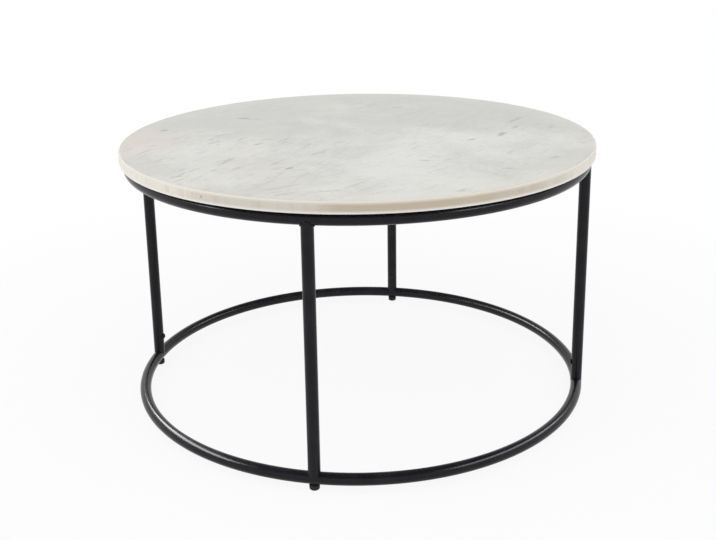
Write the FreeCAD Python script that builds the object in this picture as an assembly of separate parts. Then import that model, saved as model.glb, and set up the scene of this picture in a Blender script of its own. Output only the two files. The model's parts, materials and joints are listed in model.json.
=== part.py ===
import FreeCAD, Part
import os

# Round cocktail table: a stone disc on a knock-down frame of two tube rings and four tube legs.
# Millimetres, +Z up. The origin is on the floor, under the centre of the top.

V = FreeCAD.Vector
UP = V(0, 0, 1)
ORIGIN = V(0, 0, 0)

# Stone top
table_height = 450.0
top_diameter = 800.0
top_thickness = 18.5
top_upper_round = 3.0
top_lower_round = 1.0
top_overhang = 6.0          # stone edge past the outside of the upper ring

# Frame tubes
ring_tube = 19.0
ring_wall = 1.5
leg_tube = 19.0
leg_wall = 2.0
cope_gap = 0.1              # between a shaped end and the ring it meets
vent_hole = 6.0             # drain hole in the upper ring inside each leg

# Weld bead between a leg top and the upper ring
weld_size = 2.2             # reach of the bead along leg and ring
weld_proud = 0.5            # how far it stands past the sides of the ring
weld_top_drop = 1.0         # its upper edge below the ring's centre

# Leg joint on the lower ring
spigot_clearance = 0.15     # radial, inside the leg
spigot_chamfer = 1.0
spigot_end_above_ring_centre = 2.5
spigot_past_screw = 14.0
leg_screw_height = 28.0     # above the crown of the lower ring
socket_fit_gap = 0.1        # radial, round a peg or bush let into a ring or slab

# Dome-headed screws, used on the legs and under the top
screw_diameter = 6.0
screw_thread_play = 0.05    # radial
screw_clearance = 0.3       # radial, in plain holes
screw_head_diameter = 10.5
screw_head_height = 3.3
screw_head_rim = 0.8
screw_socket_width = 4.0
screw_socket_depth = 2.0
leg_screw_bite = 9.0        # thread length inside the spigot
top_screw_bite = 9.0        # thread length inside the slab's insert

# Fixing of the top
tab_width = 28.0
tab_thickness = 3.0
tab_reach = 44.0            # inner end to the ring's centre line
tab_hole_inset = 14.0       # screw centre to the inner end
tab_end_inset = 4.5         # outer end to the ring's centre line
tab_corner = 6.0
bumper_diameter = 20.0
bumper_thickness = 1.5      # also the shadow gap over the ring
washer_diameter = 12.5
washer_thickness = 1.6
insert_diameter = 9.0
insert_length = 12.0
insert_end_gap = 0.5

# Levelling feet
foot_height = 9.5           # floor to the underside of the lower ring
foot_diameter = 16.0
foot_round = 3.0
foot_pad_proud = 0.4
foot_pad_thickness = 2.0
foot_seat_gap = 0.2         # foot to bush, foot screwed right in
stud_diameter = 6.0
stud_running_gap = 0.05     # radial
stud_flange_diameter = 9.0
stud_flange_thickness = 1.8
stud_end_gap = 1.0          # stud to spigot, foot screwed right in
flange_play = 0.1           # round the flange inside the foot
bush_diameter = 12.0
bush_length = 10.0
bush_proud = 0.3            # past the underside of the lower ring

LEG_ANGLES = {"right": 0.0, "back": 90.0, "left": 180.0, "front": 270.0}
TAB_ANGLES = (45.0, 135.0, 225.0, 315.0)

# Places that follow from the sizes
ring_r = ring_tube / 2
leg_r = leg_tube / 2
leg_bore_r = leg_r - leg_wall
ring_radius = top_diameter / 2 - top_overhang - ring_r
top_underside = table_height - top_thickness
ring_crown = top_underside - bumper_thickness
upper_ring_z = ring_crown - ring_r
lower_ring_z = foot_height + ring_r
screw_r = screw_diameter / 2
screw_shank_r = screw_r - screw_thread_play
screw_hole_r = screw_r + screw_clearance
spigot_r = leg_bore_r - spigot_clearance
spigot_bottom = lower_ring_z + spigot_end_above_ring_centre
leg_screw_z = lower_ring_z + ring_r + leg_screw_height
leg_inner_side = ring_radius - leg_r
tab_hole_radius = ring_radius - tab_reach + tab_hole_inset
tab_underside = ring_crown - tab_thickness
insert_r = insert_diameter / 2
bush_r = bush_diameter / 2
bush_bottom = foot_height - bush_proud
stud_r = stud_diameter / 2
stud_flange_r = stud_flange_diameter / 2
stud_flange_bottom = foot_pad_thickness + flange_play
stud_flange_top = stud_flange_bottom + stud_flange_thickness
stud_top = spigot_bottom - stud_end_gap
foot_r = foot_diameter / 2
foot_top = bush_bottom - foot_seat_gap
foot_cavity_r = stud_flange_r + flange_play


def rod(radius, bottom, top, place=ring_radius):
    """Upright cylinder whose axis stands on +X at the given distance from the table's axis."""
    return Part.makeCylinder(radius, top - bottom, V(place, 0, bottom), UP)


def turned(shape, angle):
    """Copy of a shape turned about the table's axis."""
    copy = shape.copy()
    copy.rotate(ORIGIN, UP, angle)
    return copy


def at_angles(shape, angles):
    """Group of copies of a shape at the given angles about the table's axis."""
    return Part.makeCompound([turned(shape, angle) for angle in angles])


def rim(shape, height):
    """Round edges of a shape at one height."""
    near = 0.01
    return [
        edge for edge in shape.Edges
        if abs(edge.BoundBox.ZMin - height) < near and abs(edge.BoundBox.ZMax - height) < near
    ]


def ring_solid(height, radius):
    """Full round ring with the given section radius, on the frame's centre line."""
    return Part.makeTorus(ring_radius, radius, V(0, 0, height), UP)


def hollow_ring(height):
    """Bent tube ring."""
    return ring_solid(height, ring_r).cut(ring_solid(height, ring_r - ring_wall))


def marble_top():
    """Round slab with eased arrises and blind holes for the inserts."""
    slab = Part.makeCylinder(top_diameter / 2, top_thickness, V(0, 0, top_underside), UP)
    slab = slab.makeFillet(top_upper_round, rim(slab, table_height))
    slab = slab.makeFillet(top_lower_round, rim(slab, top_underside))
    hole_top = top_underside + insert_length + insert_end_gap
    hole = rod(insert_r + socket_fit_gap, top_underside, hole_top, tab_hole_radius)
    return slab.cut(at_angles(hole, TAB_ANGLES))


def upper_ring():
    """Tube ring under the slab, drilled inside each leg."""
    hole = rod(vent_hole / 2, upper_ring_z - ring_tube, upper_ring_z)
    return hollow_ring(upper_ring_z).cut(at_angles(hole, LEG_ANGLES.values()))


def lower_ring():
    """Tube ring near the floor, drilled above for the spigots and below for the bushes."""
    peg_hole = rod(spigot_r + socket_fit_gap, lower_ring_z, lower_ring_z + ring_tube)
    bush_hole = rod(bush_r + socket_fit_gap, lower_ring_z - ring_tube, lower_ring_z)
    ring = hollow_ring(lower_ring_z).cut(at_angles(peg_hole, LEG_ANGLES.values()))
    return ring.cut(at_angles(bush_hole, LEG_ANGLES.values()))


def leg():
    """Tube leg on +X, coped over both rings, with a plain screw hole on its inner side."""
    tube = rod(leg_r, lower_ring_z, upper_ring_z).cut(rod(leg_bore_r, lower_ring_z, upper_ring_z))
    for height in (lower_ring_z, upper_ring_z):
        tube = tube.cut(ring_solid(height, ring_r + cope_gap))
    hole = Part.makeCylinder(screw_hole_r, leg_r, V(leg_inner_side, 0, leg_screw_z), V(1, 0, 0))
    return tube.cut(hole)


def upper_weld():
    """Bead round a leg top on +X, lying in the corner between leg and upper ring."""
    bottom = upper_ring_z - ring_r - weld_size
    top = upper_ring_z - weld_top_drop
    bead = Part.makeCone(leg_r, leg_r + weld_size, weld_size, V(ring_radius, 0, bottom), UP)
    bead = bead.fuse(rod(leg_r + weld_size, bottom + weld_size, top))
    bead = bead.common(ring_solid(upper_ring_z, ring_r + weld_size))
    reach = ring_r + weld_proud
    band = rod(ring_radius + reach, bottom, top, 0).cut(rod(ring_radius - reach, bottom, top, 0))
    return bead.common(band).cut(ring_solid(upper_ring_z, ring_r)).cut(rod(leg_r, bottom, top))


def leg_spigot():
    """Solid peg on +X, let into the crown of the lower ring and tapped through for the leg screw."""
    top = leg_screw_z + spigot_past_screw
    peg = rod(spigot_r, spigot_bottom, top)
    peg = peg.makeChamfer(spigot_chamfer, rim(peg, top))
    start = V(ring_radius - leg_r, 0, leg_screw_z)
    return peg.cut(Part.makeCylinder(screw_r, leg_tube, start, V(1, 0, 0)))


def dome_screw(shank_length):
    """Dome-headed socket screw standing on the origin: head below the seat, shank above it."""
    head_r = screw_head_diameter / 2
    dome_height = screw_head_height - screw_head_rim
    dome_r = (head_r ** 2 + dome_height ** 2) / (2 * dome_height)
    crown = V(0, 0, -screw_head_height)
    head = Part.makeCylinder(head_r, screw_head_height, crown, UP)
    head = head.common(Part.makeSphere(dome_r, crown + UP * dome_r))
    corner_r = screw_socket_width / 3 ** 0.5
    hexagon = Part.makePolygon([FreeCAD.Rotation(UP, 60 * k).multVec(V(corner_r, 0, 0)) for k in range(7)])
    socket = Part.Face(hexagon).extrude(UP * screw_socket_depth)
    socket.translate(crown)
    shank = Part.makeCylinder(screw_shank_r, shank_length, ORIGIN, UP)
    return head.fuse(shank).removeSplitter().cut(socket)


def leg_screw():
    """Screw on +X through the leg's inner side into its spigot."""
    screw = dome_screw(leg_wall + spigot_clearance + leg_screw_bite)
    screw.rotate(ORIGIN, V(0, 1, 0), 90)
    screw.translate(V(leg_inner_side, 0, leg_screw_z))
    return screw


def top_tab():
    """Flat tab on +X, welded to the inside of the upper ring, level with its crown."""
    length = tab_reach - tab_end_inset
    corner = V(ring_radius - tab_reach, -tab_width / 2, tab_underside)
    plate = Part.makeBox(length, tab_width, tab_thickness, corner)
    inner = [
        edge for edge in plate.Edges
        if edge.BoundBox.XMax < corner.x + tab_corner and edge.BoundBox.ZLength > tab_thickness / 2
    ]
    plate = plate.makeFillet(tab_corner, inner)
    plate = plate.cut(ring_solid(upper_ring_z, ring_r + cope_gap))
    return plate.cut(rod(screw_hole_r, tab_underside, ring_crown, tab_hole_radius))


def top_bumper():
    """Rubber ring on a tab, under the slab."""
    pad = rod(bumper_diameter / 2, ring_crown, top_underside, tab_hole_radius)
    return pad.cut(rod(screw_hole_r, ring_crown, top_underside, tab_hole_radius))


def top_washer():
    """Plain washer under a tab."""
    bottom = tab_underside - washer_thickness
    disc = rod(washer_diameter / 2, bottom, tab_underside, tab_hole_radius)
    return disc.cut(rod(screw_hole_r, bottom, tab_underside, tab_hole_radius))


def top_screw():
    """Screw up through washer, tab and bumper into the slab's insert."""
    seat = tab_underside - washer_thickness
    screw = dome_screw(top_underside - seat + top_screw_bite)
    screw.translate(V(tab_hole_radius, 0, seat))
    return screw


def top_insert():
    """Threaded sleeve let into the underside of the slab."""
    top = top_underside + insert_length
    return rod(insert_r, top_underside, top, tab_hole_radius).cut(
        rod(screw_r, top_underside, top, tab_hole_radius))


def foot_bush():
    """Threaded bush let into the underside of the lower ring."""
    top = bush_bottom + bush_length
    return rod(bush_r, bush_bottom, top).cut(rod(stud_r + stud_running_gap, bush_bottom, top))


def foot_stud():
    """Threaded stud with a flange that is caught inside the foot."""
    flange = rod(stud_flange_r, stud_flange_bottom, stud_flange_top)
    return flange.fuse(rod(stud_r, stud_flange_bottom, stud_top)).removeSplitter()


def foot_base():
    """Domed foot, open below for the stud's flange and bored above for the stud."""
    body = rod(foot_r, foot_pad_proud, foot_top)
    body = body.makeFillet(foot_round, rim(body, foot_pad_proud))
    body = body.cut(rod(foot_cavity_r, foot_pad_proud, stud_flange_top + flange_play))
    return body.cut(rod(stud_r + stud_running_gap, foot_pad_proud, foot_top))


def foot_pad():
    """Round pad that closes the foot from below and meets the floor."""
    return rod(stud_flange_r, 0, foot_pad_thickness)


def save(name, shape):
    """Write one node."""
    shape.exportStep("parts/" + name + ".step")


os.makedirs("parts", exist_ok=True)

save("marble_top", marble_top())
save("upper_ring", upper_ring())
save("lower_ring", lower_ring())

PER_LEG_GROUPS = {
    "upper_welds": upper_weld,
    "leg_spigots": leg_spigot,
    "leg_screws": leg_screw,
    "foot_bushes": foot_bush,
}
for name, make in PER_LEG_GROUPS.items():
    save(name, at_angles(make(), LEG_ANGLES.values()))

PER_TAB_GROUPS = {
    "top_tabs": top_tab,
    "top_bumpers": top_bumper,
    "top_washers": top_washer,
    "top_screws": top_screw,
    "top_inserts": top_insert,
}
for name, make in PER_TAB_GROUPS.items():
    save(name, at_angles(make(), TAB_ANGLES))

PER_LEG_NODES = {
    "leg": leg,
    "foot_stud": foot_stud,
    "foot_base": foot_base,
    "foot_pad": foot_pad,
}
for name, make in PER_LEG_NODES.items():
    for side, angle in LEG_ANGLES.items():
        save(name + "_" + side, turned(make(), angle))
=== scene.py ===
"""Looks of a round cocktail table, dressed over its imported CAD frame."""
import json
import logging
import math
from dataclasses import dataclass, field
from enum import Enum
from functools import cache, cached_property
from typing import Iterable, Sequence

import bmesh
import bpy
from bmesh.types import BMEdge, BMFace, BMVert
from bpy.types import ID, Material, Node, NodeSocket, Object, World
from mathutils import Matrix, Vector, noise

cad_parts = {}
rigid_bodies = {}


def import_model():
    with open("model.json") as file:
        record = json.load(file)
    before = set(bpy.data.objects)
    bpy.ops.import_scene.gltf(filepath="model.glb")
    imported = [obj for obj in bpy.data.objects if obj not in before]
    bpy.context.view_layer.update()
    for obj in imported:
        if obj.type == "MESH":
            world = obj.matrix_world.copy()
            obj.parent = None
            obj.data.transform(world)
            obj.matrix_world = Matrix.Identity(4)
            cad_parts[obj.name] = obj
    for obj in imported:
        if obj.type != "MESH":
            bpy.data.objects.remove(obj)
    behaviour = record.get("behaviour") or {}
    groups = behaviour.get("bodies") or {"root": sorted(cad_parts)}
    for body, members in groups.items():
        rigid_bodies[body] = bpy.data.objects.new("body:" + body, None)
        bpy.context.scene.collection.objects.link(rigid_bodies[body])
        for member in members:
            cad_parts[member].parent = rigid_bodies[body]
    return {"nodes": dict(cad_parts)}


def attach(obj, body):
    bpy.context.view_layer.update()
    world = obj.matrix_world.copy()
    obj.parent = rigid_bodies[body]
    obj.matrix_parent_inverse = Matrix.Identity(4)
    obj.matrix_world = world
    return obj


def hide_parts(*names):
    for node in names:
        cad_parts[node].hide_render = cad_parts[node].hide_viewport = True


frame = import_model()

LOG = logging.getLogger("cocktail_table")
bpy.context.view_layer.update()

Colour = tuple[float, float, float]
Place = tuple[float, float, float]
Profile = Sequence[tuple[float, float]]

# Sizes shared by several pieces, in metres
MM = 0.001
TURN = 2 * math.pi
SLAB_RADIUS = 0.400
SLAB_TOP = 0.450
SLAB_BOTTOM = 0.4315
RING_RADIUS = 0.3845
RING_TUBE_R = 0.0095
UPPER_RING_Z = 0.4205
LOWER_RING_Z = 0.019
LEG_R = 0.0095
LEG_SCREW_Z = 0.0565
TAB_BOTTOM = 0.427
TAB_TOP = 0.430
TAB_HOLE_RADIUS = 0.3545
WASHER = 0.0016
TAB_TURN = Matrix.Rotation(math.radians(45), 4, "Z")
TAB_SEAT = TAB_TURN @ Matrix.Translation((TAB_HOLE_RADIUS, 0, 0))
LEG_SCREW_SEAT = Matrix.Translation((RING_RADIUS - LEG_R, 0, LEG_SCREW_Z)) @ Matrix.Rotation(TURN / 4, 4, "Y")
CREASE = 35.0  # degrees above which an edge stays sharp


class Slot(Enum):
    """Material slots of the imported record."""

    MARBLE = "marble"
    POWDER_COAT = "powder_coat"
    BLACK_SCREW = "black_screw"
    STEEL = "steel"
    BRASS = "brass"
    RUBBER = "rubber"
    FOOT_PLASTIC = "foot_plastic"


class Side(Enum):
    """Sides of the table that carry a leg, with the leg's angle in degrees."""

    RIGHT = 0.0
    BACK = 90.0
    LEFT = 180.0
    FRONT = 270.0

    @property
    def label(self) -> str:
        """Side's name as the CAD nodes spell it."""
        return self.name.lower()

    @property
    def turn(self) -> Matrix:
        """Rotation that takes a piece made on +X to this side."""
        return Matrix.Rotation(math.radians(self.value), 4, "Z")


class Graph:
    """Node tree of one finish, or of the surround, while it is put together."""

    def __init__(self, owner: Material | World) -> None:
        """Start with an empty tree.

        Args:
            owner: New material or world that the tree belongs to.
        """
        self.owner = owner
        owner.use_nodes = True
        self.tree = owner.node_tree
        self.tree.nodes.clear()

    @classmethod
    def named(cls, name: str) -> "Graph":
        """Tree of a new material."""
        return cls(bpy.data.materials.new(name))

    def add(self, kind: str, settings: dict | None = None, **inputs) -> Node:
        """Add a node.

        Args:
            kind: Node type.
            settings: Properties of the node itself.
            **inputs: Sockets by name, with _ for a space; each gets a link or a plain value.

        Returns:
            The new node.
        """
        node = self.tree.nodes.new(kind)
        for key, value in (settings or {}).items():
            setattr(node, key, value)
        for key, value in inputs.items():
            self.feed(node.inputs[key.replace("_", " ")], value)
        return node

    def feed(self, socket: NodeSocket, value: object) -> None:
        """Link a socket to another one, or set its value.

        Args:
            socket: Input to feed.
            value: Output to link, or plain value.
        """
        if isinstance(value, NodeSocket):
            self.tree.links.new(value, socket)
        else:
            socket.default_value = value

    @cached_property
    def where(self) -> NodeSocket:
        """Object coordinates."""
        return self.add("ShaderNodeTexCoord").outputs["Object"]

    def math(self, operation: str, first: object, second: object) -> NodeSocket:
        """Arithmetic on one or two numbers.

        Args:
            operation: What the node does.
            first: Link or number.
            second: Link or number.

        Returns:
            The result.
        """
        node = self.add("ShaderNodeMath", {"operation": operation})
        self.feed(node.inputs[0], first)
        self.feed(node.inputs[1], second)
        return node.outputs[0]

    def vector(self, operation: str, first: object, second: object = (0, 0, 0)) -> Node:
        """Arithmetic on vectors.

        Args:
            operation: What the node does.
            first: Link or vector.
            second: Link or vector.

        Returns:
            The node, because its outputs differ.
        """
        node = self.add("ShaderNodeVectorMath", {"operation": operation})
        self.feed(node.inputs[0], first)
        self.feed(node.inputs[1], second)
        return node

    def times(self, first: object, second: object) -> NodeSocket:
        """Product of two numbers."""
        return self.math("MULTIPLY", first, second)

    def away(self, point: Place) -> NodeSocket:
        """Distance from a point."""
        return self.vector("DISTANCE", self.where, point).outputs["Value"]

    def rise(self, value: object, low: float, high: float) -> NodeSocket:
        """Smooth step.

        Args:
            value: Link or number.
            low: Where it is 0; it falls where this is the larger end.
            high: Where it is 1.

        Returns:
            Number from 0 to 1.
        """
        node = self.add("ShaderNodeMapRange", {"interpolation_type": "SMOOTHSTEP"}, Value=value)
        ends = (low, high, 0.0, 1.0) if low < high else (high, low, 1.0, 0.0)
        for name, end in zip(("From Min", "From Max", "To Min", "To Max"), ends):
            node.inputs[name].default_value = end
        return node.outputs["Result"]

    def span(self, value: object, low: float, high: float) -> NodeSocket:
        """Number from 0 to 1 stretched to the span from low to high."""
        return self.add("ShaderNodeMapRange", Value=value, To_Min=low, To_Max=high).outputs["Result"]

    def blend(self, amount: object, under: object, over: object) -> NodeSocket:
        """Colour blended over another one.

        Args:
            amount: Share of the upper colour.
            under: Lower colour.
            over: Upper colour.

        Returns:
            The blend.
        """
        node = self.add("ShaderNodeMix", {"data_type": "RGBA"})
        self.feed(node.inputs[0], amount)
        for socket, value in ((node.inputs[6], under), (node.inputs[7], over)):
            self.feed(socket, value if isinstance(value, NodeSocket) else (*value, 1.0))
        return node.outputs[2]

    def grain(self, scale: float, detail: float = 3.0, rough: float = 0.5, warp: float = 0.0,
              where: NodeSocket | None = None) -> NodeSocket:
        """Noise.

        Args:
            scale: Features to the metre.
            detail: Octaves.
            rough: Weight of the finer octaves.
            warp: Distortion.
            where: Coordinates, if not the object's own.

        Returns:
            Number from 0 to 1.
        """
        node = self.add("ShaderNodeTexNoise", Vector=where or self.where, Scale=scale, Detail=detail, Roughness=rough,
                        Distortion=warp)
        return node.outputs[0]

    def stretched(self, turn: float, stretch: Place, centre: Place = (0, 0, 0),
                  where: NodeSocket | None = None) -> NodeSocket:
        """Coordinates drawn out along axes of their own.

        Args:
            turn: Angle of the new axes about Z, in degrees.
            stretch: Stretch along each of them.
            centre: Their origin.
            where: Coordinates, if not the object's own.

        Returns:
            New coordinates.
        """
        node = self.add("ShaderNodeMapping", {"vector_type": "TEXTURE"}, Vector=where or self.where, Location=centre,
                        Rotation=(0.0, 0.0, math.radians(turn)), Scale=stretch)
        return node.outputs["Vector"]

    def bump(self, height: object, depth: float, strength: float) -> NodeSocket:
        """Normal with a height added to it, depth in metres."""
        return self.add("ShaderNodeBump", Height=height, Distance=depth, Strength=strength).outputs["Normal"]

    def finish(self, **inputs) -> Material:
        """Close the tree with a Principled shader.

        Args:
            **inputs: Sockets of the shader, as in add.

        Returns:
            The finished material.
        """
        shader = self.add("ShaderNodeBsdfPrincipled", **inputs)
        self.add("ShaderNodeOutputMaterial", Surface=shader.outputs["BSDF"])
        return self.owner


@dataclass(frozen=True)
class Fleck:
    """One dark fleck in the stone: its centre, half length and half width in mm, direction in degrees, weight."""

    x: float
    y: float
    length: float
    width: float
    turn: float
    weight: float


@dataclass(frozen=True)
class Drift:
    """Drift of short streaks: its middle and reach in metres, direction in degrees, streaks to the metre, weight."""

    x: float
    y: float
    reach: float
    turn: float
    scale: float
    weight: float


@dataclass(frozen=True)
class PolishedMarble:
    """Pale grey stone with short faint streaks, a few dark flecks and a warm, less polished edge; painted light darkens
    the face away from one point, painted shade darkens the front of the edge, and painted highlights run along its
    rounded corners.
    """

    pale: Colour = (0.675, 0.678, 0.640)
    dim: Colour = (0.500, 0.505, 0.470)
    warm: Colour = (0.640, 0.596, 0.530)
    blush: Colour = (0.640, 0.560, 0.480)
    streak: Colour = (0.330, 0.342, 0.334)
    fleck: Colour = (0.200, 0.212, 0.208)
    edge_cream: Colour = (0.830, 0.780, 0.695)
    # Painted shade: a duller copy of the cream for the front of the edge; the warm brown after it is partly the stone's
    # own and partly painted shade.
    edge_shade: Colour = (0.690, 0.650, 0.575)
    edge_tan_and_shade: Colour = (0.575, 0.490, 0.375)
    edge_brown: Colour = (0.330, 0.240, 0.150)
    # Painted highlight colour for the upper rounded corner of the edge.
    upper_arris_highlight: Colour = (0.800, 0.760, 0.680)
    # Painted highlight colour for the lower rounded corner, standing for light from the floor.
    lower_arris_highlight: Colour = (0.900, 0.880, 0.840)
    underside: Colour = (0.560, 0.550, 0.520)
    # Painted light: the face is lightest at this point and darkens away from it.
    painted_light_centre: Place = (0.084, -0.2625, SLAB_TOP)
    blush_place: Place = (-0.375, -0.095, SLAB_TOP)
    hollow_place: Place = (-0.1563, -0.3682, 0.4410)
    # Directions in degrees about which painted shade, and the partly painted warm brown, gather on the edge.
    shade_middle: float = -72.0
    tan_and_shade_middle: float = -64.0
    flecks: tuple[Fleck, ...] = tuple(Fleck(*row) for row in (
        (-350, 4, 14, 6, 57, 0.85), (-319, 2, 18, 4, 36, 0.45), (-238, 122, 16, 8, -16, 0.80),
        (-210, 114, 23, 5, -15, 0.40), (-234, -19, 23, 4, 57, 0.40), (-148, -45, 19, 4, 14, 0.35),
        (-114, -36, 19, 4, 38, 0.35), (-152, -78, 13, 6, 64, 0.60), (-171, -201, 36, 6, 78, 0.55),
        (-143, -240, 13, 5, 72, 0.45), (-61, -229, 10, 6, 58, 0.85), (-214, -298, 13, 4, 29, 0.40),
        (20, -349, 21, 4, 34, 0.40), (-37, -372, 19, 4, 38, 0.35), (243, 44, 21, 8, 78, 0.95),
        (196, -2, 13, 6, 52, 0.65), (261, 167, 36, 6, 67, 0.60), (265, 105, 18, 6, 67, 0.60),
        (325, 110, 25, 5, 77, 0.40), (377, -4, 9, 5, -26, 0.50), (332, -110, 10, 6, 42, 0.50),
        (265, -189, 10, 5, 42, 0.50), (264, -85, 19, 4, 72, 0.35), (136, -156, 15, 5, -4, 0.55),
        (207, -318, 13, 5, 53, 0.40), (31, 257, 15, 5, 35, 0.50),
    ))
    drifts: tuple[Drift, ...] = (
        Drift(-0.189, -0.157, 0.315, 74, 106.7, 1.00),
        Drift(0.000, -0.346, 0.199, 38, 102.9, 1.00),
        Drift(0.283, 0.126, 0.220, 68, 99.1, 0.75),
        Drift(-0.052, 0.220, 0.315, 52, 112.4, 0.70),
        Drift(0.000, 0.000, 1.260, 62, 128.6, 0.50),
    )

    def streaking(self, graph: Graph) -> NodeSocket:
        """Short streaks, gathered in drifts that each have a direction.

        Args:
            graph: Tree to add to.

        Returns:
            Strength of the streaks from 0 to 1.
        """
        total: object = 0.0
        for drift in self.drifts:
            away = graph.away((drift.x, drift.y, SLAB_TOP))
            near = graph.times(graph.rise(away, drift.reach, drift.reach * 0.3), drift.weight)
            drawn = graph.stretched(drift.turn, (5.0, 1.0, 5.0))
            peak = graph.rise(graph.grain(drift.scale, 3.0, 0.55, 0.7, drawn), 0.54, 0.72)
            total = graph.math("MAXIMUM", total, graph.times(peak, near))
        patchy = graph.span(graph.rise(graph.grain(14.0, 2.0), 0.36, 0.64), 0.35, 1.0)
        return graph.times(total, patchy)

    def flecking(self, graph: Graph) -> NodeSocket:
        """Single dark flecks with ragged outlines.

        Args:
            graph: Tree to add to.

        Returns:
            Strength of the flecks from 0 to 1.
        """
        wobble = graph.add("ShaderNodeTexNoise", Vector=graph.where, Scale=110.0, Detail=4.0).outputs["Color"]
        shift = graph.vector("SCALE", graph.vector("SUBTRACT", wobble, (0.5, 0.5, 0.5)).outputs[0])
        shift.inputs["Scale"].default_value = 0.016
        ragged = graph.vector("ADD", graph.where, shift.outputs[0]).outputs[0]
        total: object = 0.0
        for fleck in self.flecks:
            local = graph.stretched(fleck.turn, (fleck.length * MM, fleck.width * MM, 1.0),
                                    (fleck.x * MM, fleck.y * MM, SLAB_TOP), ragged)
            away = graph.vector("LENGTH", local).outputs["Value"]
            spot = graph.times(graph.rise(away, 1.15, 0.25), fleck.weight)
            total = graph.math("MAXIMUM", total, spot)
        return total

    def face(self, graph: Graph, outward: object) -> NodeSocket:
        """Colour of the polished face, with painted light that darkens it away from one point.

        Args:
            graph: Tree to add to.
            outward: Distance from the table's axis.

        Returns:
            Face colour.
        """
        cloud = graph.grain(6.0, 5.0, 0.6, 0.4)
        fine = graph.span(graph.grain(150.0, 4.0, 0.65), -0.175, 0.175)
        # Painted light: the face darkens with distance from one point, standing in for how light falls on it.
        painted_falloff = graph.math("SUBTRACT", graph.times(graph.away(self.painted_light_centre), 0.60), 0.15)
        tone_and_painted_light = graph.math("SUBTRACT", graph.math("ADD", cloud, fine), painted_falloff)
        colour = graph.blend(graph.rise(tone_and_painted_light, 0.28, 0.70), self.dim, self.pale)
        tint = graph.times(graph.rise(graph.grain(4.4, 3.0, 0.5), 0.52, 0.72), 0.40)
        rim_tint = graph.times(graph.rise(outward, SLAB_RADIUS - 60 * MM, SLAB_RADIUS - 2 * MM), 0.35)
        colour = graph.blend(graph.math("MAXIMUM", tint, rim_tint), colour, self.warm)
        blush = graph.times(graph.rise(graph.away(self.blush_place), 0.15, 0.03), 0.65)
        colour = graph.blend(blush, colour, self.blush)
        colour = graph.blend(graph.times(self.streaking(graph), 0.70), colour, self.streak)
        return graph.blend(graph.times(self.flecking(graph), 0.80), colour, self.fleck)

    def edge(self, graph: Graph, height: object) -> NodeSocket:
        """Colour of the slab's edge: cream, turning duller and warm brown with upright bands towards the front, partly
        the stone's own colour and partly painted shade, with painted highlights along the upper and lower rounded
        corners.

        Args:
            graph: Tree to add to.
            height: Height above the floor.

        Returns:
            Edge colour.
        """
        # Painted shade: towards the front the edge turns to a duller copy of its cream, as where less light falls.
        shade_facing = []
        for middle in (self.shade_middle, self.tan_and_shade_middle):
            turn = math.radians(middle)
            ray = Vector((math.cos(turn), math.sin(turn), 0.0)) / SLAB_RADIUS
            shade_facing.append(graph.vector("DOT_PRODUCT", graph.where, ray).outputs["Value"])
        upright = graph.stretched(0.0, (1.0, 1.0, 9.0))
        wander = graph.span(graph.grain(14.0, where=upright), -0.175, 0.175)
        colour = graph.blend(graph.rise(shade_facing[0], 0.68, 0.76), self.edge_cream, self.edge_shade)
        # Warm brown towards the front: partly the stone's own colour, partly painted shade.
        tan_and_shade_mask = graph.rise(graph.math("ADD", shade_facing[1], wander), 0.86, 0.99)
        colour = graph.blend(tan_and_shade_mask, colour, self.edge_tan_and_shade)
        bands = graph.times(graph.rise(graph.grain(75.0, rough=0.6, where=upright), 0.48, 0.72), 0.35)
        colour = graph.blend(bands, colour, self.edge_tan_and_shade)
        spots = graph.times(graph.rise(graph.grain(130.0, 3.0), 0.66, 0.80), 0.55)
        colour = graph.blend(spots, colour, self.edge_brown)
        hollow = graph.times(graph.rise(graph.away(self.hollow_place), 3.0 * MM, 1.0 * MM), 0.6)
        colour = graph.blend(hollow, colour, self.edge_brown)
        # Painted highlight: a lighter line along the upper rounded corner, where the eased edge catches light.
        eased = graph.times(graph.rise(height, SLAB_TOP - 6.5 * MM, SLAB_TOP - 1.5 * MM), 0.85)
        colour = graph.blend(eased, colour, self.upper_arris_highlight)
        # Painted highlight: a near-white line along the lower rounded corner, standing for light from the floor; the
        # noise only makes its border ragged.
        ragged_border = graph.times(graph.grain(180.0, 2.0), 0.8 * MM)
        low = graph.rise(graph.math("ADD", height, ragged_border), SLAB_BOTTOM + 6.5 * MM, SLAB_BOTTOM + 1.0 * MM)
        return graph.blend(low, colour, self.lower_arris_highlight)

    def material(self) -> Material:
        """Build the stone's node tree.

        Returns:
            The material.
        """
        graph = Graph.named("polished_marble")
        outward = graph.vector("LENGTH", graph.vector("MULTIPLY", graph.where, (1, 1, 0)).outputs[0]).outputs["Value"]
        height = graph.vector("DOT_PRODUCT", graph.where, (0, 0, 1)).outputs["Value"]
        on_edge = graph.rise(outward, SLAB_RADIUS - 3.0 * MM, SLAB_RADIUS - 1.2 * MM)
        colour = graph.blend(on_edge, self.face(graph, outward), self.edge(graph, height))
        below = graph.rise(height, SLAB_BOTTOM + 0.5 * MM, SLAB_BOTTOM + 0.2 * MM)
        saw = graph.span(graph.grain(240.0, where=graph.stretched(34.377, (14.0, 1.0, 1.0))), 0.25, 0.75)
        colour = graph.blend(graph.times(below, saw), colour, self.underside)
        sheen = graph.span(graph.grain(40.0, 4.0), 0.12, 0.24)
        dull = graph.math("MAXIMUM", graph.times(on_edge, 0.20), graph.times(below, 0.38))
        pits = graph.rise(graph.grain(420.0, 2.0), 0.30, 0.62)
        normal = graph.bump(pits, 0.02 * MM, 0.35)
        return graph.finish(Base_Color=colour, Roughness=graph.math("ADD", sheen, dull), IOR=1.50,
                            Specular_IOR_Level=0.42, Normal=normal)


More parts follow.
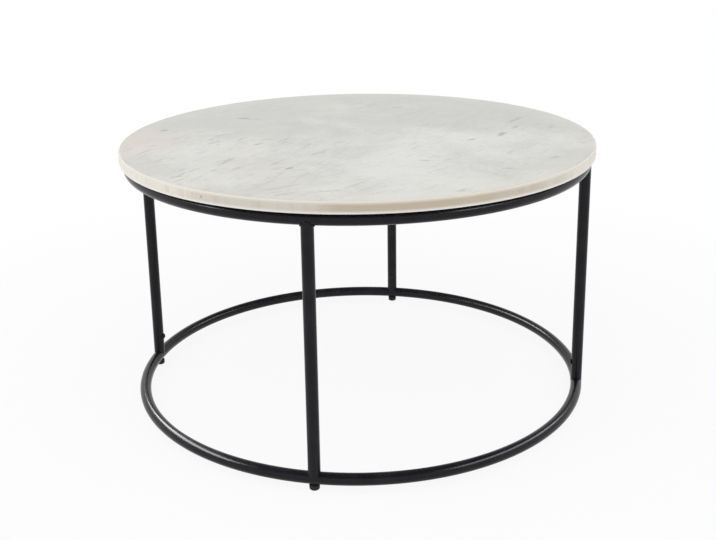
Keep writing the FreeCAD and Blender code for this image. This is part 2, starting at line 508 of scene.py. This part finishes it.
@dataclass(frozen=True)
class DarkCoat:
    """Paint, oxide, rubber or plastic in two dark shades.

    Patches and relief have noise scales in features to the metre, and gloss a scale and its octaves.
    """

    name: str
    dark: Colour
    light: Colour
    roughness: tuple[float, float]
    relief: tuple[float, ...]
    patches: float = 120.0
    patch_range: tuple[float, float] = (0.42, 0.75)
    gloss: tuple[float, float] = (500.0, 2.0)
    depth: float = 0.03 * MM
    strength: float = 0.5
    shader: dict[str, float] = field(default_factory=lambda: {"Specular_IOR_Level": 0.3})

    def material(self) -> Material:
        """Build the node tree: patchy shades, uneven gloss and a fine relief.

        Returns:
            The material.
        """
        graph = Graph.named(self.name)
        patches = graph.rise(graph.grain(self.patches, 4.0, 0.6), *self.patch_range)
        colour = graph.blend(patches, self.dark, self.light)
        rough = graph.span(graph.grain(*self.gloss), *self.roughness)
        relief = graph.grain(self.relief[0], 2.0)
        for finer in self.relief[1:]:
            relief = graph.math("ADD", relief, graph.times(graph.grain(finer, 2.0), 0.5))
        normal = graph.bump(relief, self.depth, self.strength)
        return graph.finish(Base_Color=colour, Roughness=rough, Normal=normal, **self.shader)


@dataclass(frozen=True)
class PlatedMetal:
    """Machined metal with fine turning lines."""

    name: str
    light: Colour
    shade: Colour
    roughness: tuple[float, float] = (0.24, 0.40)

    def material(self) -> Material:
        """Build the metal's node tree.

        Returns:
            The material.
        """
        graph = Graph.named(self.name)
        lines = graph.grain(2600.0, where=graph.stretched(0.0, (9.0, 9.0, 1.0)))
        cloud = graph.rise(graph.grain(160.0, 3.0), 0.35, 0.68)
        colour = graph.blend(cloud, self.shade, self.light)
        rough = graph.span(lines, *self.roughness)
        return graph.finish(Base_Color=colour, Roughness=rough, Metallic=1.0, Normal=graph.bump(lines, 0.015 * MM, 0.4))


FINISHES = {
    Slot.MARBLE: PolishedMarble(),
    Slot.POWDER_COAT: DarkCoat(
        "satin_powder_coat", (0.0035, 0.0035, 0.0052), (0.0075, 0.0074, 0.0098),
        patches=34.0, patch_range=(0.35, 0.70), gloss=(90.0, 3.0), roughness=(0.17, 0.25),
        relief=(420.0, 1500.0), depth=0.02 * MM, strength=0.12, shader={"IOR": 1.45, "Specular_IOR_Level": 0.24}),
    Slot.BLACK_SCREW: DarkCoat(
        "black_oxide", (0.012, 0.012, 0.013), (0.040, 0.040, 0.042),
        patches=260.0, patch_range=(0.52, 0.72), gloss=(700.0, 2.0), roughness=(0.30, 0.46),
        relief=(1800.0,), depth=0.02 * MM, strength=0.4, shader={"Metallic": 0.35, "Specular_IOR_Level": 0.4}),
    Slot.RUBBER: DarkCoat(
        "black_rubber", (0.010, 0.010, 0.010), (0.022, 0.022, 0.021), roughness=(0.66, 0.84), relief=(900.0,)),
    Slot.FOOT_PLASTIC: DarkCoat(
        "moulded_foot", (0.009, 0.009, 0.010), (0.018, 0.018, 0.019), roughness=(0.42, 0.58), relief=(1400.0,)),
    Slot.STEEL: PlatedMetal("zinc_plate", (0.56, 0.56, 0.57), (0.44, 0.44, 0.46)),
    Slot.BRASS: PlatedMetal("machined_brass", (0.74, 0.56, 0.26), (0.60, 0.44, 0.19)),
}


@cache
def finish_of(slot: Slot) -> Material:
    """Material of a slot, made on first use."""
    return FINISHES[slot].material()


def dress(piece: Object, slot: Slot) -> None:
    """Give every face of an object one slot's material.

    Args:
        piece: Object to dress.
        slot: Material slot.
    """
    if not piece.material_slots:
        piece.data.materials.append(None)
    for place in piece.material_slots:
        place.material = finish_of(slot)


def enter(name: str, data: ID) -> Object:
    """Put a new object into the scene.

    Args:
        name: Its name.
        data: Its mesh, lamp or camera.

    Returns:
        The object.
    """
    made = bpy.data.objects.new(name, data)
    bpy.context.scene.collection.objects.link(made)
    return made


class Shape:
    """Mesh of one piece while it is being made."""

    def __init__(self) -> None:
        """Start an empty mesh."""
        self.bm = bmesh.new()

    def lathe(self, profile: Profile, steps: int, closed: bool = False) -> None:
        """Spin an outline of radius and height round the Z axis.

        Args:
            profile: Points of the outline.
            steps: Steps in the full turn.
            closed: Whether the last point joins the first.
        """
        verts = [self.bm.verts.new((radius, 0.0, height)) for radius, height in profile]
        ends = zip(verts, verts[1:] + verts[:1]) if closed else zip(verts, verts[1:])
        edges = [self.bm.edges.new(pair) for pair in ends]
        self.spin(verts + edges, steps)
        self.close()

    def spin(self, geom: list, steps: int, angle: float = TURN, climb: float = 0.0, copy: bool = False) -> None:
        """Carry points, edges or faces round the Z axis; just one turn joins up with its start.

        Args:
            geom: What is carried.
            steps: Steps on the way.
            angle: Whole angle.
            climb: Rise at each step.
            copy: Whether copies are left instead of a skin.
        """
        bmesh.ops.spin(self.bm, geom=geom, cent=(0, 0, 0), axis=(0, 0, 1), dvec=(0, 0, climb), angle=angle,
                       steps=steps, use_merge=angle == TURN, use_duplicate=copy)

    def close(self) -> None:
        """Merge doubled points and turn all faces outwards."""
        bmesh.ops.remove_doubles(self.bm, verts=self.bm.verts[:], dist=1e-7)
        bmesh.ops.recalc_face_normals(self.bm, faces=self.bm.faces[:])

    def rim(self, radius: float, height: float) -> list[BMEdge]:
        """Find the edges on one circle about the Z axis.

        Args:
            radius: Radius of the circle.
            height: Its height.

        Returns:
            The edges.
        """
        near = 0.02 * MM
        return [
            edge for edge in self.bm.edges
            if all(abs(v.co.z - height) < near and abs(math.hypot(v.co.x, v.co.y) - radius) < near for v in edge.verts)
        ]

    def ease(self, edges: Sequence[BMEdge], size: float, segments: int) -> None:
        """Round a set of edges.

        Args:
            edges: Edges to round.
            size: Distance from the edge at which the rounding starts.
            segments: Faces across it.
        """
        bmesh.ops.bevel(self.bm, geom=list(edges), offset=size, offset_type="OFFSET", segments=segments, profile=0.5,
                        affect="EDGES", material=-1)

    def move(self, matrix: Matrix) -> None:
        """Move the whole shape."""
        bmesh.ops.transform(self.bm, matrix=matrix, verts=self.bm.verts[:])

    def everything(self) -> list:
        """All points, edges and faces."""
        return self.bm.verts[:] + self.bm.edges[:] + self.bm.faces[:]

    def repeat(self) -> None:
        """Copy the shape to the other sides of the table."""
        steps = len(Side) - 1
        self.spin(self.everything(), steps, TURN * steps / len(Side), copy=True)

    def piece(self, name: str, slot: Slot, body: str, nodes: Sequence[str], crease: float = CREASE) -> Object:
        """Turn the mesh into a dressed piece of the table.

        Args:
            name: Name of the piece.
            slot: Material slot.
            body: CAD body that carries it.
            nodes: CAD nodes that it stands for.
            crease: Angle in degrees above which an edge stays sharp.

        Returns:
            The new object.
        """
        mesh = bpy.data.meshes.new(name)
        for face in self.bm.faces:
            face.smooth = True
        self.bm.to_mesh(mesh)
        self.bm.free()
        mesh.set_sharp_from_angle(angle=math.radians(crease))
        made = enter(name, mesh)
        dress(made, slot)
        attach(made, body)
        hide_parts(*nodes)
        LOG.info("%s: %d faces on %s", name, len(mesh.polygons), body)
        return made


def cut(piece: Object, tools: Iterable[Shape]) -> None:
    """Cut shapes out of a piece for good.

    Args:
        piece: Object to cut.
        tools: Shapes to take away; they are used up.
    """
    for number, tool in enumerate(tools):
        mesh = bpy.data.meshes.new(f"{piece.name}_cutter_{number}")
        tool.bm.to_mesh(mesh)
        tool.bm.free()
        cutter = enter(mesh.name, mesh)
        modifier = piece.modifiers.new("cut", "BOOLEAN")
        modifier.operation = "DIFFERENCE"
        modifier.solver = "EXACT"
        modifier.object = cutter
        graph = bpy.context.evaluated_depsgraph_get()
        done = bpy.data.meshes.new_from_object(piece.evaluated_get(graph))
        clean = bmesh.new()
        clean.from_mesh(done)
        bmesh.ops.dissolve_degenerate(clean, dist=0.005 * MM, edges=clean.edges)
        clean.to_mesh(done)
        clean.free()
        done.set_sharp_from_angle(angle=math.radians(CREASE))
        piece.modifiers.remove(modifier)
        old = piece.data
        piece.data = done
        done.name = piece.name
        bpy.data.meshes.remove(old)
        bpy.data.objects.remove(cutter)
        bpy.data.meshes.remove(mesh)


def cylinder(radius: float, bottom: float, top: float, segments: int = 32) -> Shape:
    """Closed upright cylinder on the Z axis.

    Args:
        radius: Radius.
        bottom: Height of its lower end.
        top: Height of its upper end.
        segments: Faces round it.

    Returns:
        The shape.
    """
    shape = Shape()
    bmesh.ops.create_cone(shape.bm, cap_ends=True, cap_tris=False, segments=segments, radius1=radius, radius2=radius,
                          depth=top - bottom, matrix=Matrix.Translation((0, 0, (top + bottom) / 2)))
    return shape


@dataclass
class StoneTop:
    """Round slab with eased arrises."""

    upper_round: float = 3.0 * MM
    lower_round: float = 1.0 * MM
    flat_margin: float = 5.0 * MM
    hole_r: float = 4.6 * MM
    hole_depth: float = 12.5 * MM
    segments: int = 360

    def build(self) -> None:
        """Make the slab with its blind holes."""
        shape = cylinder(SLAB_RADIUS, SLAB_BOTTOM, SLAB_TOP, self.segments)
        shape.ease(shape.rim(SLAB_RADIUS, SLAB_TOP), self.upper_round, 8)
        shape.ease(shape.rim(SLAB_RADIUS, SLAB_BOTTOM), self.lower_round, 5)
        caps = [face for face in shape.bm.faces if len(face.verts) > 4]
        bmesh.ops.inset_individual(shape.bm, faces=caps, thickness=self.flat_margin, use_even_offset=True)
        slab = shape.piece("stone_top", Slot.MARBLE, "frame", ["marble_top"])
        holes = cylinder(self.hole_r, SLAB_BOTTOM - 1 * MM, SLAB_BOTTOM + self.hole_depth)
        holes.move(TAB_SEAT)
        holes.repeat()
        cut(slab, [holes])


@dataclass
class TubeRing:
    """One of the two rings of bent tube, drilled from above and below at each leg."""

    name: str
    node: str
    height: float
    hole_above: float = 0.0
    hole_below: float = 0.0
    wall: float = 1.5 * MM
    steps: int = 288
    outer_points: int = 40
    bore_points: int = 24

    def skin(self, shape: Shape, radius: float, around: int) -> list[BMFace]:
        """Spin one round section about the table's axis.

        Args:
            shape: Mesh to add to.
            radius: Radius of the section.
            around: Points of the section.

        Returns:
            The new faces, turned outwards.
        """
        before = set(shape.bm.faces)
        upright = Matrix.Translation((RING_RADIUS, 0, self.height)) @ Matrix.Rotation(TURN / 4, 4, "X")
        section = bmesh.ops.create_circle(shape.bm, segments=around, radius=radius, matrix=upright)
        geom = section["verts"] + list({edge for vert in section["verts"] for edge in vert.link_edges})
        shape.spin(geom, self.steps)
        shape.close()
        return [face for face in shape.bm.faces if face not in before]

    def drills(self) -> Iterable[Shape]:
        """Make the cutters for the holes at the legs.

        Yields:
            One shape for all holes from above, and one for all from below.
        """
        for radius, way in ((self.hole_above, 1), (self.hole_below, -1)):
            if radius:
                ends = sorted((self.height, self.height + 2 * way * RING_TUBE_R))
                drill = cylinder(radius, *ends, 48)
                drill.move(Matrix.Translation((RING_RADIUS, 0, 0)))
                drill.repeat()
                yield drill

    def build(self) -> None:
        """Make the tube with its bore and drill it."""
        shape = Shape()
        self.skin(shape, RING_TUBE_R, self.outer_points)
        bore = self.skin(shape, RING_TUBE_R - self.wall, self.bore_points)
        bmesh.ops.reverse_faces(shape.bm, faces=bore)
        cut(shape.piece(self.name, Slot.POWDER_COAT, "frame", [self.node]), self.drills())


@dataclass
class TubeLeg:
    """Straight tube leg with ends shaped to the rings and a screw hole on its inner side."""

    side: Side
    wall: float = 2.0 * MM
    cope_gap: float = 0.1 * MM
    hole_r: float = 3.3 * MM
    segments: int = 64

    def cope(self, vert: BMVert) -> None:
        """Put an end point of the tube on the ring that it meets.

        Args:
            vert: Point to move.
        """
        across = math.hypot(vert.co.x, vert.co.y) - RING_RADIUS
        drop = math.sqrt((RING_TUBE_R + self.cope_gap) ** 2 - across ** 2)
        upper = vert.co.z > (UPPER_RING_Z + LOWER_RING_Z) / 2
        vert.co.z = UPPER_RING_Z - drop if upper else LOWER_RING_Z + drop

    def build(self) -> None:
        """Make the leg."""
        shape = Shape()
        middle = Matrix.Translation((RING_RADIUS, 0, (UPPER_RING_Z + LOWER_RING_Z) / 2))
        bmesh.ops.create_cone(shape.bm, cap_ends=False, segments=self.segments, radius1=LEG_R, radius2=LEG_R,
                              depth=UPPER_RING_Z - LOWER_RING_Z, matrix=middle)
        shape.close()
        bmesh.ops.solidify(shape.bm, geom=shape.bm.faces[:], thickness=self.wall)
        for vert in shape.bm.verts:
            self.cope(vert)
        shape.close()
        shape.move(self.side.turn)
        label = self.side.label
        leg = shape.piece(f"tube_leg_{label}", Slot.POWDER_COAT, "frame", [f"leg_{label}"])
        drill = cylinder(self.hole_r, -LEG_R, LEG_R)
        drill.move(self.side.turn @ LEG_SCREW_SEAT)
        cut(leg, [drill])


@dataclass
class WeldBeads:
    """Rippled beads of weld round the tops of the legs."""

    stand_off: float = 0.45 * MM
    thickness: float = 1.35 * MM
    sink: float = 0.3 * MM
    ripples: int = 26
    ripple_depth: float = 0.10
    lump_depth: float = 0.30
    steps: int = 156
    around: int = 14

    def shift(self, vert: BMVert) -> None:
        """Bring a point of a plain ring to the uneven bead that follows the saddle under the upper ring.

        Args:
            vert: Point to move.
        """
        angle = math.atan2(vert.co.y, vert.co.x)
        out = math.hypot(vert.co.x, vert.co.y) - LEG_R - self.stand_off
        ripple = 1 + self.ripple_depth * math.sin(self.ripples * angle + 0.8 * math.sin(3 * angle))
        lump = 1 + self.lump_depth * noise.noise(Vector((2.1 * math.cos(angle), 2.1 * math.sin(angle), 4.0)))
        out, rise = out * ripple * lump, vert.co.z * ripple * lump
        reach = LEG_R + self.stand_off
        x, y = reach * math.cos(angle), reach * math.sin(angle)
        across = min(abs(math.hypot(RING_RADIUS + x, y) - RING_RADIUS), RING_TUBE_R)
        drop = math.sqrt((RING_TUBE_R + self.stand_off) ** 2 - across ** 2)
        vert.co = ((reach + out) * math.cos(angle) + RING_RADIUS, (reach + out) * math.sin(angle),
                   UPPER_RING_Z - drop - self.sink + rise)

    def build(self) -> None:
        """Make the four beads as one piece."""
        shape = Shape()
        bead = [
            (LEG_R + self.stand_off + self.thickness * math.cos(TURN * k / self.around),
             self.thickness * math.sin(TURN * k / self.around))
            for k in range(self.around)
        ]
        shape.lathe(bead, self.steps, closed=True)
        for vert in shape.bm.verts:
            self.shift(vert)
        shape.close()
        shape.repeat()
        shape.piece("weld_beads", Slot.POWDER_COAT, "frame", ["upper_welds"], crease=70.0)


@dataclass
class DomeScrews:
    """Four dome-headed screws with hexagon sockets, evenly round the table."""

    name: str
    node: str
    shank: float
    seat: Matrix
    head_r: float = 5.25 * MM
    head_height: float = 3.3 * MM
    head_rim: float = 0.8 * MM
    head_ease: float = 0.15 * MM
    socket_r: float = 2.0 * MM
    socket_land: float = 2.6 * MM
    socket_depth: float = 2.0 * MM
    drill_point: float = 0.3 * MM
    shank_r: float = 2.95 * MM
    chamfer: float = 0.8 * MM
    steps: int = 48

    def outline(self) -> list[tuple[float, float]]:
        """Half outline of a screw whose head points down.

        Returns:
            Radius and height of each point, from the socket's floor over the dome to the tip.
        """
        dome = self.head_height - self.head_rim
        curve = (self.head_r ** 2 + dome ** 2) / (2 * dome)
        radii = [self.socket_land + (self.head_r - self.socket_land) * k / 9 for k in range(10)]
        crown = [(r, curve - self.head_height - math.sqrt(curve ** 2 - r ** 2)) for r in radii]
        mouth = crown[0][1]
        floor = self.socket_depth - self.head_height
        return [(0.0, floor + self.drill_point), (self.socket_r, floor), (self.socket_r, mouth), *crown,
                (self.head_r, -self.head_ease), (self.head_r - self.head_ease, 0.0), (self.shank_r, 0.0),
                (self.shank_r, self.shank - self.chamfer), (self.shank_r - self.chamfer, self.shank), (0.0, self.shank)]

    def hexagon(self, vert: BMVert) -> None:
        """Press a point of the socket's round wall out to the hexagon.

        Args:
            vert: Point to move.
        """
        angle = math.atan2(vert.co.y, vert.co.x)
        off = (angle + TURN / 12) % (TURN / 6) - TURN / 12
        reach = self.socket_r / math.cos(off)
        vert.co.x, vert.co.y = reach * math.cos(angle), reach * math.sin(angle)

    def build(self) -> None:
        """Make the four screws as one piece."""
        shape = Shape()
        shape.lathe(self.outline(), self.steps)
        for vert in shape.bm.verts:
            if vert.co.z < 0 and abs(math.hypot(vert.co.x, vert.co.y) - self.socket_r) < 0.01 * MM:
                self.hexagon(vert)
        shape.move(self.seat)
        shape.repeat()
        shape.piece(self.name, Slot.BLACK_SCREW, "frame", [self.node], crease=32.0)


@dataclass
class TopTabs:
    """Flat tabs inside the upper ring that carry the slab."""

    width: float = 28.0 * MM
    inner: float = 0.3405
    outer: float = 0.380
    corner: float = 6.0 * MM
    edge: float = 0.4 * MM
    hole_r: float = 3.3 * MM

    def build(self) -> None:
        """Make the tabs with rounded inner corners, softened edges and screw holes."""
        shape = Shape()
        centre = Matrix.Translation(((self.inner + self.outer) / 2, 0, (TAB_TOP + TAB_BOTTOM) / 2))
        size = Matrix.Diagonal((self.outer - self.inner, self.width, TAB_TOP - TAB_BOTTOM, 1))
        bmesh.ops.create_cube(shape.bm, size=1.0, matrix=centre @ size)
        upright = [
            edge for edge in shape.bm.edges
            if all(abs(vert.co.x - self.inner) < 0.01 * MM for vert in edge.verts)
            and abs(edge.verts[0].co.z - edge.verts[1].co.z) > 1 * MM
        ]
        shape.ease(upright, self.corner, 10)
        flat = [
            edge for edge in shape.bm.edges
            if abs(edge.verts[0].co.z - edge.verts[1].co.z) < 0.01 * MM and edge.calc_face_angle(0) > 1
        ]
        shape.ease(flat, self.edge, 3)
        shape.move(TAB_TURN)
        shape.repeat()
        plates = shape.piece("tab_plates", Slot.POWDER_COAT, "frame", ["top_tabs"])
        holes = cylinder(self.hole_r, TAB_BOTTOM - 1 * MM, TAB_TOP + 1 * MM)
        holes.move(TAB_SEAT)
        holes.repeat()
        cut(plates, [holes])


@dataclass
class FlatRings:
    """Four flat rings on the screws of the top, with softened outer edges."""

    name: str
    node: str
    slot: Slot
    radius: float
    bottom: float
    top: float
    edge: float
    hole_r: float = 3.3 * MM
    steps: int = 56

    def build(self) -> None:
        """Make the four rings as one piece."""
        shape = Shape()
        shape.lathe([(self.hole_r, self.bottom), (self.radius, self.bottom), (self.radius, self.top),
                     (self.hole_r, self.top)], self.steps, closed=True)
        shape.ease(shape.rim(self.radius, self.bottom) + shape.rim(self.radius, self.top), self.edge, 3)
        shape.move(TAB_SEAT)
        shape.repeat()
        shape.piece(self.name, self.slot, "frame", [self.node])


@dataclass
class LevellingFoot:
    """Screw-in foot under one leg: threaded stud, domed base and rubber pad."""

    side: Side
    base_r: float = 8.0 * MM
    base_top: float = 9.0 * MM
    base_bottom: float = 0.4 * MM
    base_round: float = 3.0 * MM
    base_rim: float = 0.6 * MM
    cavity_r: float = 4.6 * MM
    cavity_top: float = 4.0 * MM
    bore_r: float = 3.05 * MM
    pad_r: float = 4.5 * MM
    pad_top: float = 2.0 * MM
    pad_round: float = 0.3 * MM
    flange_r: float = 4.5 * MM
    flange_bottom: float = 2.1 * MM
    flange_top: float = 3.9 * MM
    stud_r: float = 2.98 * MM
    thread_depth: float = 0.55 * MM
    thread_start: float = 8.5 * MM
    stud_top: float = 20.5 * MM
    pitch: float = 1.0 * MM
    steps: int = 56

    def build(self) -> None:
        """Make base, pad and stud in their place."""
        label = self.side.label
        seat = self.side.turn @ Matrix.Translation((RING_RADIUS, 0, 0))
        for shape, name, slot, body, node in (
                (self.base(), "domed_foot", Slot.FOOT_PLASTIC, "foot", "foot_base"),
                (self.pad(), "rubber_pad", Slot.RUBBER, "foot", "foot_pad"),
                (self.stud(), "threaded_stud", Slot.STEEL, "stud", "foot_stud")):
            shape.move(seat)
            shape.piece(f"{name}_{label}", slot, f"{label}_{body}", [f"{node}_{label}"])

    def base(self) -> Shape:
        """Domed foot, hollow below for the stud's flange.

        Returns:
            The shape, on the Z axis.
        """
        shape = Shape()
        shape.lathe([(self.cavity_r, self.base_bottom), (self.base_r, self.base_bottom), (self.base_r, self.base_top),
                     (self.bore_r, self.base_top), (self.bore_r, self.cavity_top), (self.cavity_r, self.cavity_top)],
                    self.steps, closed=True)
        shape.ease(shape.rim(self.base_r, self.base_bottom), self.base_round, 8)
        shape.ease(shape.rim(self.base_r, self.base_top), self.base_rim, 4)
        return shape

    def pad(self) -> Shape:
        """Rubber disc that meets the floor.

        Returns:
            The shape, on the Z axis.
        """
        shape = cylinder(self.pad_r, 0.0, self.pad_top, self.steps)
        shape.ease(shape.rim(self.pad_r, 0.0), self.pad_round, 3)
        return shape

    def stud(self) -> Shape:
        """Stud with a flange below, a plain neck and a cut thread.

        Returns:
            The shape, on the Z axis.
        """
        shape = Shape()
        root = self.stud_r - self.thread_depth
        turns = math.ceil((self.stud_top - self.thread_start) / self.pitch) + 2
        start = self.thread_start - self.pitch
        groove = ((root, 0.0), (self.stud_r, 0.42), (self.stud_r, 0.54), (root, 0.96), (root, 1.0))
        verts = [shape.bm.verts.new((radius, 0.0, start + self.pitch * share)) for radius, share in groove]
        edges = [shape.bm.edges.new(pair) for pair in zip(verts, verts[1:])]
        around = self.steps // 2
        shape.spin(verts + edges, around * turns, TURN * turns, self.pitch / around)
        bmesh.ops.remove_doubles(shape.bm, verts=shape.bm.verts[:], dist=1e-6)
        for height, normal in ((self.thread_start, (0, 0, -1)), (self.stud_top, (0, 0, 1))):
            made = bmesh.ops.bisect_plane(shape.bm, geom=shape.everything(), dist=1e-7, plane_co=(0, 0, height),
                                          plane_no=normal, clear_outer=True)
            rim = [item for item in made["geom_cut"] if isinstance(item, BMEdge)]
            bmesh.ops.edgeloop_fill(shape.bm, edges=rim)
        bmesh.ops.recalc_face_normals(shape.bm, faces=shape.bm.faces[:])
        neck_top = self.thread_start + 0.02 * MM
        shape.lathe([(0.0, self.flange_bottom), (self.flange_r, self.flange_bottom), (self.flange_r, self.flange_top),
                     (self.stud_r, self.flange_top), (self.stud_r, neck_top), (0.0, neck_top)], self.steps)
        return shape


class HiddenFittings:
    """CAD nodes that keep their own shape and only get a finish."""

    finishes = {"leg_spigots": Slot.STEEL, "foot_bushes": Slot.POWDER_COAT, "top_inserts": Slot.BRASS}

    def build(self) -> None:
        """Dress the nodes."""
        for node, slot in self.finishes.items():
            dress(frame["nodes"][node], slot)
            LOG.info("%s: CAD shape kept", node)


@dataclass(frozen=True)
class SoftBox:
    """Rectangular lamp: its place, power in watts, the point that it faces, width and height in metres."""

    name: str
    place: Place
    power: float
    aim: Place = (0.0, 0.0, 0.35)
    size: tuple[float, float] = (2.6, 2.6)

    def hang(self) -> Object:
        """Make the lamp, hidden from the camera.

        Returns:
            The lamp's object.
        """
        lamp = bpy.data.lights.new(self.name, "AREA")
        lamp.shape = "RECTANGLE"
        lamp.size, lamp.size_y = self.size
        lamp.energy = self.power
        holder = enter(self.name, lamp)
        holder.location = self.place
        holder.rotation_euler = (Vector(self.aim) - Vector(self.place)).to_track_quat("-Z", "Y").to_euler()
        holder.visible_camera = False
        return holder


@dataclass
class Studio:
    """White floor and surround, soft lamps and the camera."""

    boxes: tuple[SoftBox, ...] = (
        SoftBox("overhead_box", (0.1, -0.7, 2.5), 24.0),
        SoftBox("left_box", (-2.7, -0.8, 1.3), 26.0),
        SoftBox("right_box", (2.8, -0.6, 1.3), 15.0),
        SoftBox("front_box", (0.6, -3.2, 1.5), 9.0, size=(2.4, 2.4)),
    )
    strips: tuple[SoftBox, ...] = (
        SoftBox("left_strip", (-2.0, 0.35, 1.75), 140.0, (0.0, 0.35, 0.1), (3.4, 0.6)),
        SoftBox("right_strip", (2.0, 0.35, 1.75), 64.0, (0.0, 0.35, 0.1), (3.4, 0.6)),
    )
    floor_size: float = 14.0
    floor_colour: Colour = (0.82, 0.82, 0.82)
    shadow_reach: tuple[float, float] = (0.55, 1.5)
    shadow_glow: float = 0.90
    ambient: float = 0.52
    ceiling: float = 0.20
    ceiling_reach: tuple[float, float] = (0.45, 0.75)
    lens: float = 53.496
    sensor: float = 36.0
    shift_up: float = -0.1020
    camera_place: Place = (0.3274, -1.7475, 0.8514)
    pitch: float = 0.2792
    roll: float = -0.0152

    def build(self) -> None:
        """Set up the whole studio."""
        self.floor()
        self.surround()
        self.lamps()
        self.camera()
        bpy.context.scene.view_settings.view_transform = "Standard"

    def floor(self) -> None:
        """Large floor that reads white to the camera and keeps a soft shadow."""
        bm = bmesh.new()
        under_pads = Matrix.Translation((0, 0, -0.2 * MM))
        bmesh.ops.create_grid(bm, x_segments=1, y_segments=1, size=self.floor_size / 2, matrix=under_pads)
        mesh = bpy.data.meshes.new("studio_floor")
        bm.to_mesh(mesh)
        bm.free()
        floor = enter("studio_floor", mesh)
        graph = Graph.named("white_floor")
        path = graph.add("ShaderNodeLightPath")
        seen = graph.math("MAXIMUM", path.outputs["Is Camera Ray"], path.outputs["Is Glossy Ray"])
        seen = graph.math("MAXIMUM", seen, path.outputs["Is Transmission Ray"])
        clearing = graph.rise(graph.away((0, 0, 0)), *self.shadow_reach)
        glow = graph.times(seen, graph.span(clearing, self.shadow_glow, 1.0))
        matte = graph.add("ShaderNodeBsdfDiffuse", Color=(*self.floor_colour, 1.0))
        white = graph.add("ShaderNodeEmission", Color=(1.0, 1.0, 1.0, 1.0), Strength=1.0)
        lit = graph.add("ShaderNodeMixShader", Fac=glow)
        graph.feed(lit.inputs[1], matte.outputs[0])
        graph.feed(lit.inputs[2], white.outputs[0])
        below = graph.add("ShaderNodeMixShader", Fac=graph.add("ShaderNodeNewGeometry").outputs["Backfacing"])
        clear = graph.add("ShaderNodeBsdfTransparent")
        graph.feed(below.inputs[1], lit.outputs[0])
        graph.feed(below.inputs[2], clear.outputs[0])
        graph.add("ShaderNodeOutputMaterial", Surface=below.outputs[0])
        mesh.materials.append(graph.owner)

    def surround(self) -> None:
        """World that lights evenly and shows plain white, with a dimmer ceiling in reflections."""
        graph = Graph(bpy.data.worlds.new("studio_surround"))
        path = graph.add("ShaderNodeLightPath")
        mirrored = graph.math("MAXIMUM", path.outputs["Is Glossy Ray"], path.outputs["Is Transmission Ray"])
        upward = graph.vector("DOT_PRODUCT", graph.add("ShaderNodeTexCoord").outputs["Generated"], (0, 0, 1))
        shown = graph.span(graph.rise(upward.outputs["Value"], *self.ceiling_reach), 1.0, self.ceiling)
        level = graph.add("ShaderNodeMix", A=self.ambient, B=shown, Factor=mirrored).outputs[0]
        level = graph.add("ShaderNodeMix", A=level, B=1.0, Factor=path.outputs["Is Camera Ray"]).outputs[0]
        back = graph.add("ShaderNodeBackground", Color=(1.0, 1.0, 1.0, 1.0), Strength=level)
        graph.add("ShaderNodeOutputWorld", Surface=back.outputs[0])
        bpy.context.scene.world = graph.owner

    def lamps(self) -> None:
        """Soft boxes that reflections leave out, and strips that put narrow lights on the glossy paint alone."""
        for box in self.boxes:
            box.hang().visible_glossy = False
        painted = bpy.data.collections.new("painted_pieces")
        for piece in bpy.context.scene.objects:
            if any(place.material == finish_of(Slot.POWDER_COAT) for place in piece.material_slots):
                painted.objects.link(piece)
        for strip in self.strips:
            strip.hang().light_linking.receiver_collection = painted

    def camera(self) -> None:
        """Camera at the photograph's place and angle."""
        data = bpy.data.cameras.new("photo_camera")
        data.sensor_width = self.sensor
        data.lens = self.lens
        data.shift_y = self.shift_up
        place = Vector(self.camera_place)
        heading = Matrix.Rotation(math.atan2(place.x, -place.y), 4, "Z")
        tilt = Matrix.Rotation(TURN / 4 - self.pitch, 4, "X")
        holder = enter("photo_camera", data)
        holder.matrix_world = Matrix.Translation(place) @ heading @ tilt @ Matrix.Rotation(self.roll, 4, "Z")
        bpy.context.scene.camera = holder


def main() -> None:
    """Build every sub-assembly in order."""
    logging.basicConfig(level=logging.INFO, format="%(name)s: %(message)s")
    top_seat = TAB_SEAT @ Matrix.Translation((0, 0, TAB_BOTTOM - WASHER))
    parts = [
        StoneTop(),
        TubeRing("upper_tube_ring", "upper_ring", UPPER_RING_Z, hole_below=3.0 * MM),
        TubeRing("lower_tube_ring", "lower_ring", LOWER_RING_Z, hole_above=7.45 * MM, hole_below=6.1 * MM),
        *(TubeLeg(side) for side in Side),
        WeldBeads(),
        DomeScrews("leg_dome_screws", "leg_screws", shank=11.15 * MM, seat=LEG_SCREW_SEAT),
        DomeScrews("top_dome_screws", "top_screws", shank=15.1 * MM, seat=top_seat),
        TopTabs(),
        FlatRings("bumper_rings", "top_bumpers", Slot.RUBBER, radius=10.0 * MM, bottom=TAB_TOP, top=SLAB_BOTTOM,
                  edge=0.35 * MM),
        FlatRings("plain_washers", "top_washers", Slot.STEEL, radius=6.25 * MM, bottom=TAB_BOTTOM - WASHER,
                  top=TAB_BOTTOM, edge=0.25 * MM),
        *(LevellingFoot(side) for side in Side),
        HiddenFittings(),
        Studio(),
    ]
    for part in parts:
        part.build()


if __name__ == "__main__":
    main()
